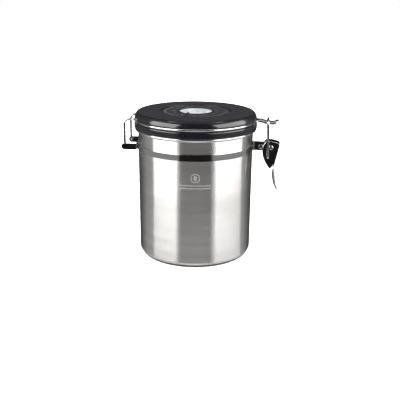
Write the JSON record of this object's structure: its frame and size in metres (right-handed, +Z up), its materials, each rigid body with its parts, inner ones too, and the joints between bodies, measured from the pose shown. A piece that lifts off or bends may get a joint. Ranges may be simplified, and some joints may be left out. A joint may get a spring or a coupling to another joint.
{
  "type": "food canister",
  "caption": "Round brushed steel food canister with a hinged black lid, date dial, one-way valve and a side lever clasp with a wire bail.",
  "frame": {"origin": "on the canister's axis, in the plane that the rubber foot ring rests on", "axes": "+Z up along the canister's axis, +X towards the clasp, -X towards the hinge"},
  "size_m": [0.1639, 0.1278, 0.1529],
  "materials": {
    "brushed_steel": "vertical brushed, satin",
    "polished_steel": "mirror polished",
    "wire_steel": "polished wire",
    "rivet_steel": "bright, lightly turned",
    "satin_steel": "pale satin, printed",
    "black_plastic": "satin black with a gloss shoulder",
    "dial_plastic": "fine matte black, grey numerals",
    "black_rubber": "matte",
    "white_silicone": "translucent matte",
    "white_plastic": "fine matte",
    "filter_felt": "needled felt"
  },
  "bodies": {
    "can": {"canister_body": "brushed_steel", "foot_ring": "black_rubber", "neck_band": "polished_steel", "hinge_bracket": "polished_steel", "hinge_rivets": "rivet_steel", "clamp_rivet": "rivet_steel", "clamp_spacer": "rivet_steel", "lever_pivot": "rivet_steel", "pivot_washers": "rivet_steel"},
    "lever": {"latch_lever": "polished_steel"},
    "bail": {"bail_wire": "wire_steel"},
    "lid": {"lid_cap": "black_plastic", "lid_base": "black_plastic", "lid_gasket": "white_silicone", "lid_wire": "wire_steel", "valve_housing": "white_plastic", "valve_cover": "satin_steel", "cover_ring": "black_plastic", "valve_filter": "filter_felt", "filter_holder": "white_plastic"},
    "flap": {"valve_flap": "white_silicone"},
    "month_dial": {"month_ring": "dial_plastic"},
    "day_dial": {"day_ring": "dial_plastic"}
  },
  "joints": [
    {"name": "lid_hinge", "type": "hinge", "parent": "can", "child": "lid", "pos_m": [-0.0724, 0, 0.1149], "axis": [0, -1, 0], "range_deg": [0, 105]},
    {"name": "lever_swing", "type": "hinge", "parent": "can", "child": "lever", "pos_m": [0.079, 0, 0.1166], "axis": [0, -1, 0], "range_deg": [0, 115]},
    {"name": "bail_swing", "type": "hinge", "parent": "lever", "child": "bail", "pos_m": [0.0763, 0, 0.106], "axis": [0, -1, 0], "range_deg": [-115, 0]},
    {"name": "month_turn", "type": "hinge", "parent": "lid", "child": "month_dial", "pos_m": [0, 0, 0.1504], "axis": [0, 0, 1], "continuous": true},
    {"name": "day_turn", "type": "hinge", "parent": "lid", "child": "day_dial", "pos_m": [0, 0, 0.1504], "axis": [0, 0, 1], "continuous": true},
    {"name": "valve_lift", "type": "slide", "parent": "lid", "child": "flap", "axis": [0, 0, 1], "range_m": [0, 0.0008]}
  ],
  "couplings": [
    {"joint": "bail_swing", "follows": "lever_swing", "ratio": -1}
  ]
}
